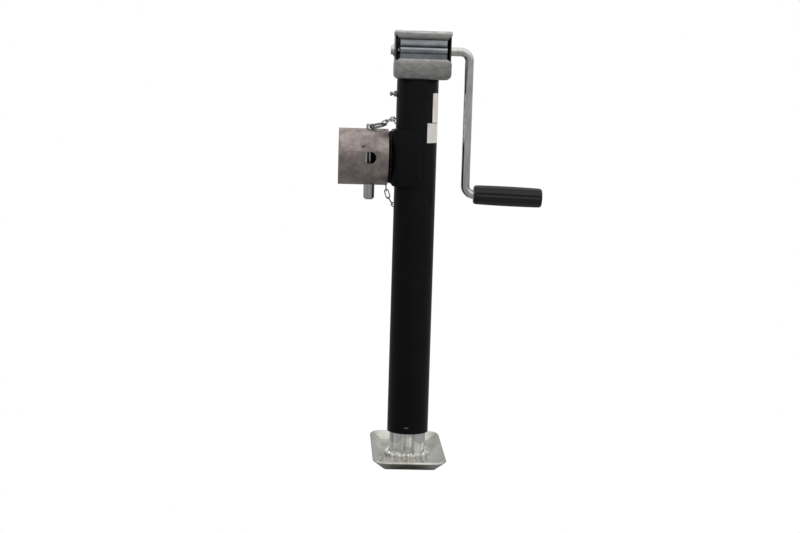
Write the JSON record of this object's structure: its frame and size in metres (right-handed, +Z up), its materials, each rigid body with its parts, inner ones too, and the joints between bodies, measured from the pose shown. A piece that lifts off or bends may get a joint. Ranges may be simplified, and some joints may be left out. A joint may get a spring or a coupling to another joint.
{
  "type": "trailer jack",
  "caption": "Side-wind trailer jack: a hand crank drives bevel gears and a screw that slides a footed leg out of a round tube with a pinned weld-on pipe mount.",
  "frame": {"origin": "centre of the foot's flat underside, on the tube's axis", "axes": "+Z up along the tube towards the gear case, +X towards the crank, -X towards the weld pipe"},
  "size_m": [0.2817, 0.192, 0.589],
  "materials": {
    "black_paint": "semi-gloss black powder coat",
    "zinc_plate": "bright zinc plate",
    "bare_steel": "bare mill steel",
    "grip_plastic": "moulded black plastic",
    "gear_steel": "greased machined steel",
    "bronze": "sintered bronze"
  },
  "bodies": {
    "jack_body": {"outer_tube": "black_paint", "grease_fitting": "zinc_plate", "gear_case": "zinc_plate", "gear_case_lid": "zinc_plate", "front_gear_cover": "zinc_plate", "rear_gear_cover": "zinc_plate", "left_shaft_bush": "bronze", "right_shaft_bush": "bronze", "gear_washer": "gear_steel", "bearing_upper_race": "gear_steel", "mount_bracket": "black_paint", "bracket_welds": "black_paint", "swivel_stub": "black_paint", "stub_weld": "black_paint", "weld_pipe": "bare_steel", "chain_anchor": "black_paint", "tether_chain": "zinc_plate"},
    "leg": {"foot_plate": "zinc_plate", "foot_weld": "zinc_plate", "inner_tube": "zinc_plate", "lead_nut": "bronze"},
    "screw": {"lead_screw": "gear_steel", "bevel_gear": "gear_steel", "gear_pin": "gear_steel", "bearing_lower_race": "gear_steel", "bearing_rollers": "gear_steel", "bearing_cage": "gear_steel"},
    "crank": {"crank_rod": "zinc_plate", "bevel_pinion": "gear_steel", "pinion_pin": "gear_steel", "rod_end_washer": "zinc_plate", "rod_end_clip": "zinc_plate", "grip_push_nut": "zinc_plate"},
    "grip": {"handle_grip": "grip_plastic"},
    "pull_pin": {"lock_pin": "zinc_plate", "pull_ring": "zinc_plate"}
  },
  "joints": [
    {"name": "crank_turn", "type": "hinge", "parent": "jack_body", "child": "crank", "pos_m": [0, 0, 0.563], "axis": [-1, 0, 0], "range_deg": [0, 45720]},
    {"name": "screw_turn", "type": "hinge", "parent": "jack_body", "child": "screw", "pos_m": [0, 0, 0.527], "axis": [0, 0, -1], "range_deg": [0, 27432]},
    {"name": "body_lift", "type": "slide", "parent": "leg", "child": "jack_body", "axis": [0, 0, 1], "range_m": [0, 0.381]},
    {"name": "grip_spin", "type": "hinge", "parent": "crank", "child": "grip", "pos_m": [0.12845, 0, 0.36768], "axis": [0.9996, 0, -0.0279], "continuous": true},
    {"name": "pin_pull", "type": "slide", "parent": "jack_body", "child": "pull_pin", "axis": [0, 0, 1], "range_m": [0, 0.1], "deforming": ["tether_chain"]}
  ],
  "couplings": [
    {"joint": "screw_turn", "follows": "crank_turn", "ratio": 0.6},
    {"joint": "body_lift", "follows": "crank_turn", "m_per_rad": 0.00047746}
  ]
}
